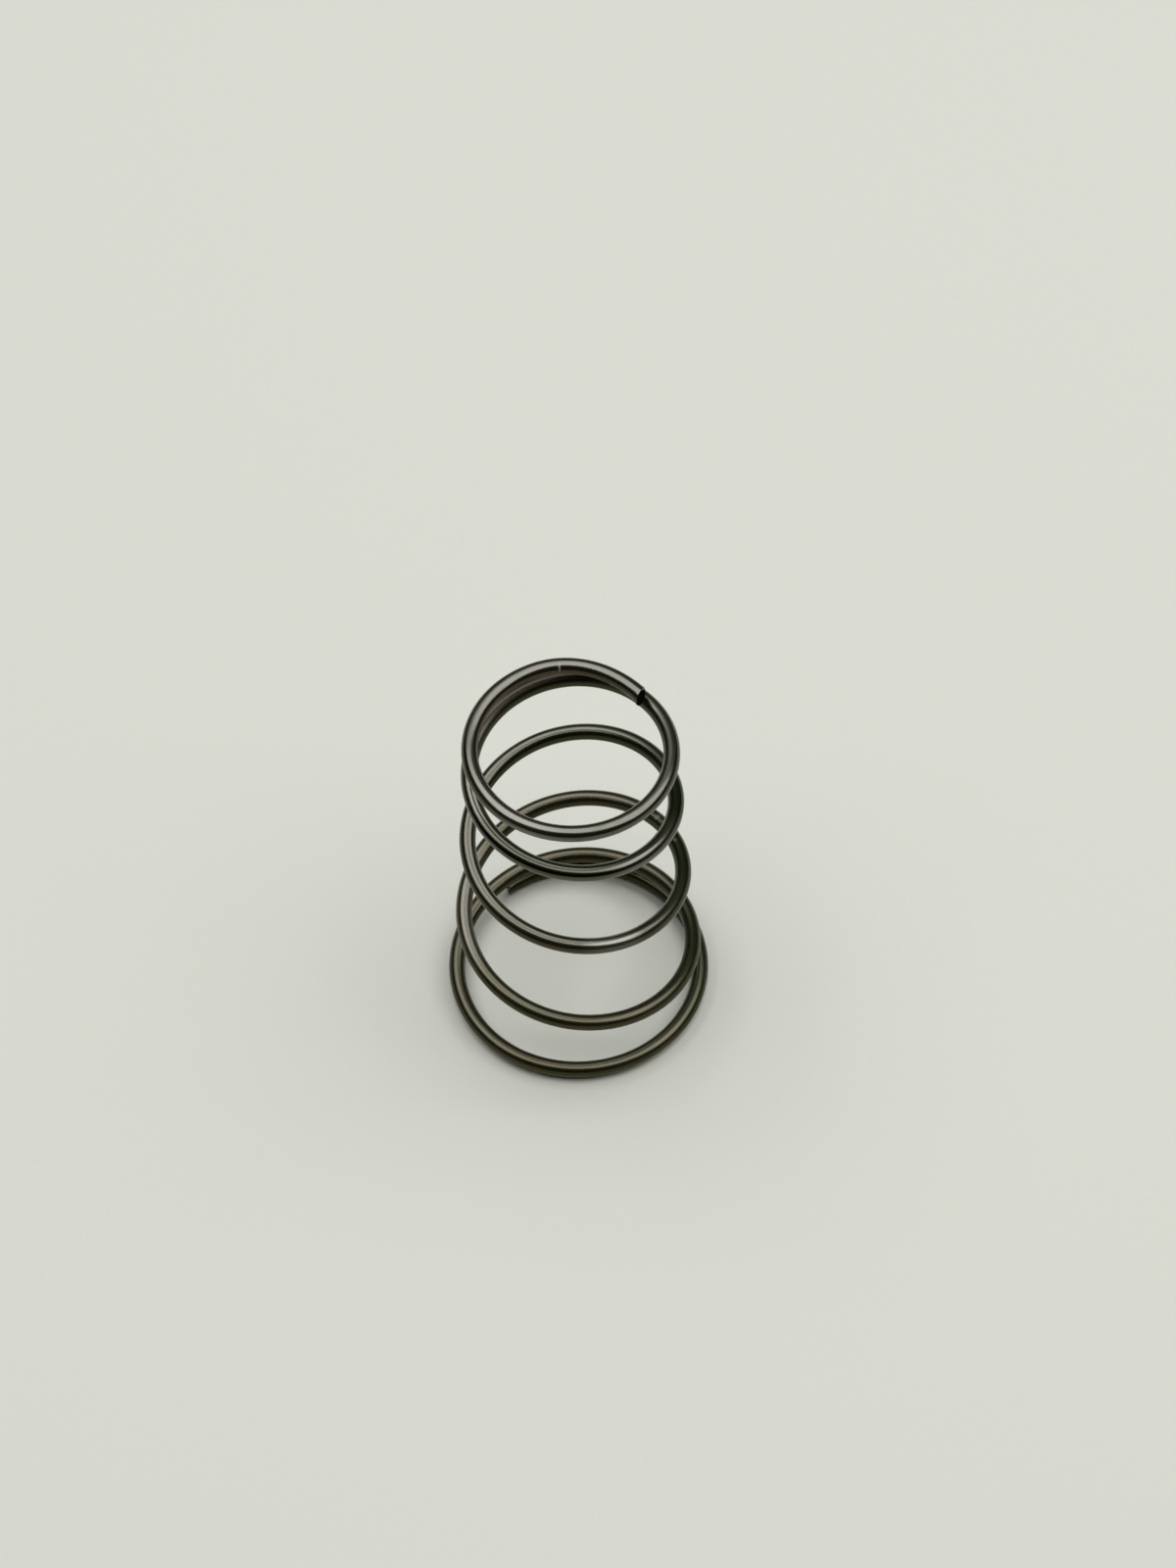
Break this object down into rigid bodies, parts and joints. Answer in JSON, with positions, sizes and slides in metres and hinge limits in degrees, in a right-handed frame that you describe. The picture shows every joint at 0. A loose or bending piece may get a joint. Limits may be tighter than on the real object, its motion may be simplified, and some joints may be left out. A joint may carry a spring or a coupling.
{
  "type": "conical spring",
  "caption": "Left-hand wound conical compression spring of round steel wire, with closed unground ends: a wide end to stand on and a narrow end to push.",
  "frame": {"origin": "on the coil's axis, in the plane that the wide end stands on", "axes": "+Z along the axis from the wide end to the narrow end; +Y to the back; the upper tip is 42 degrees round from +X towards +Y"},
  "size_m": [0.0139, 0.0139, 0.0218],
  "materials": {
    "spring_wire": "smooth drawn spring steel, darkened by stress relief in an oven to a grey oxide, with a sheared face at each tip"
  },
  "bodies": {
    "root": {"spring_coil": "spring_wire"}
  },
  "joints": []
}
